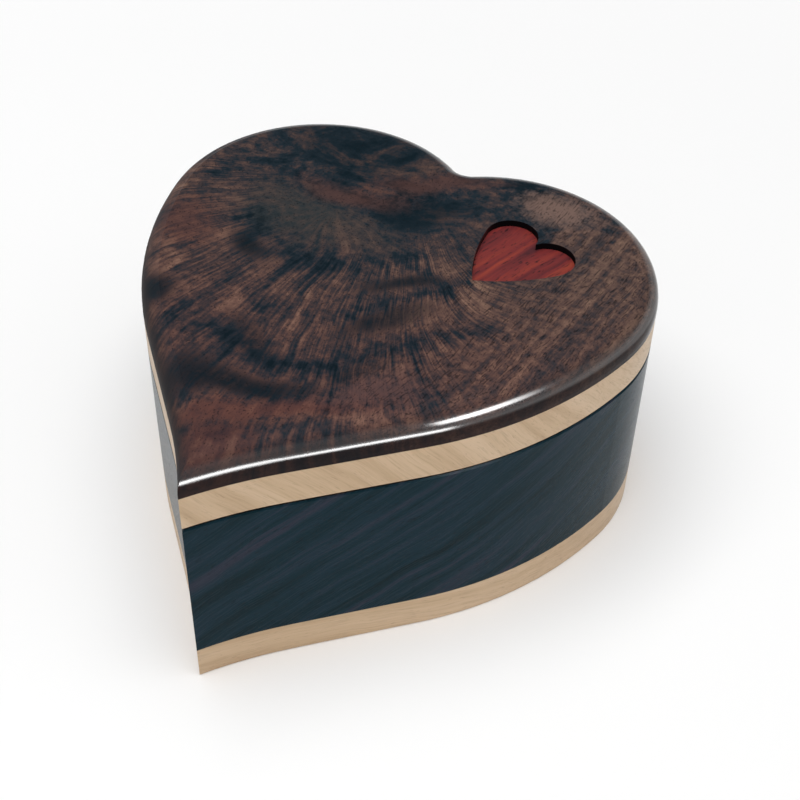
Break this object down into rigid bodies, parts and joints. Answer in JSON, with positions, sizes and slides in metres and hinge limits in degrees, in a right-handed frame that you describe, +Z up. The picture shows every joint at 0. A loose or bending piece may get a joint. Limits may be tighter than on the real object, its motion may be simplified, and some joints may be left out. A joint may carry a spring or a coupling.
{
  "type": "wind up music box",
  "caption": "Heart shaped wooden music box with a swivel lid of figured walnut over maple, a red heart inlay and a wind up movement under a clear cover.",
  "frame": {"origin": "under the middle of the bounding box, on the surface the box stands on", "axes": "+Z up through the lid, +Y from the tip of the heart toward the cleft, +X toward the lobe with the inlay"},
  "size_m": [0.13, 0.1372, 0.069],
  "materials": {
    "figured_walnut": "clear gloss lacquer",
    "dark_walnut": "satin lacquer",
    "maple": "satin lacquer",
    "padauk": "satin lacquer",
    "felt": "pressed felt",
    "clear_acrylic": "polished clear sheet",
    "brass": "satin",
    "steel": "ground",
    "spring_steel": "blued",
    "cast_zinc": "as cast",
    "nickel": "nickel plate",
    "nylon": "moulded"
  },
  "bodies": {
    "case": {"base_board": "maple", "body_ring": "dark_walnut", "partition": "maple", "compartment_felt": "felt", "cover_posts": "maple", "movement_cover": "clear_acrylic", "cover_screws": "brass", "rim_magnet": "nickel", "pivot_washer": "brass", "bedplate": "cast_zinc", "movement_screws": "steel", "barrel_bridge": "nickel", "bridge_screws": "steel", "click": "spring_steel", "click_screw": "steel", "comb": "steel", "comb_screws": "steel", "governor_frame": "cast_zinc", "governor_screws": "steel"},
    "lid": {"lid_underlayer": "maple", "lid_panel": "figured_walnut", "heart_inlay": "padauk", "pivot_pin": "brass", "lid_magnet": "nickel"},
    "winder": {"winding_arbor": "steel", "ratchet_wheel": "steel", "winding_key": "brass"},
    "barrel": {"barrel_drum": "brass", "barrel_cover": "brass", "mainspring": "spring_steel"},
    "cylinder": {"music_cylinder": "brass", "cylinder_arbor": "steel", "drive_pinion": "brass", "cylinder_gear": "brass"},
    "governor_wheel": {"governor_arbor": "steel", "governor_pinion": "nylon", "worm_wheel": "nylon"},
    "governor_fan": {"governor_worm": "steel", "fan": "nylon"}
  },
  "joints": [
    {"name": "lid_swivel", "type": "hinge", "parent": "case", "child": "lid", "pos_m": [0, 0.05181, 0.051], "axis": [0, 0, 1], "range_deg": [-180, 180]},
    {"name": "key_turn", "type": "hinge", "parent": "case", "child": "winder", "pos_m": [-0.042, 0.02281, 0.006], "axis": [0, 0, 1], "range_deg": [0, 1890]},
    {"name": "cylinder_spin", "type": "hinge", "parent": "case", "child": "cylinder", "pos_m": [-0.042, 0.02281, 0.026], "axis": [1, 0, 0], "continuous": true},
    {"name": "barrel_spin", "type": "hinge", "parent": "case", "child": "barrel", "pos_m": [-0.042, 0.02281, 0.0175], "axis": [0, 0, 1], "continuous": true},
    {"name": "governor_wheel_spin", "type": "hinge", "parent": "case", "child": "governor_wheel", "pos_m": [-0.009, 0.03193, 0.0248], "axis": [1, 0, 0], "continuous": true},
    {"name": "fan_spin", "type": "hinge", "parent": "case", "child": "governor_fan", "pos_m": [-0.0084, 0.03793, 0.0248], "axis": [0, 0, 1], "continuous": true}
  ],
  "couplings": [
    {"joint": "barrel_spin", "follows": "cylinder_spin", "ratio": 0.35},
    {"joint": "governor_wheel_spin", "follows": "cylinder_spin", "ratio": -3.6},
    {"joint": "fan_spin", "follows": "cylinder_spin", "ratio": 86.4}
  ]
}
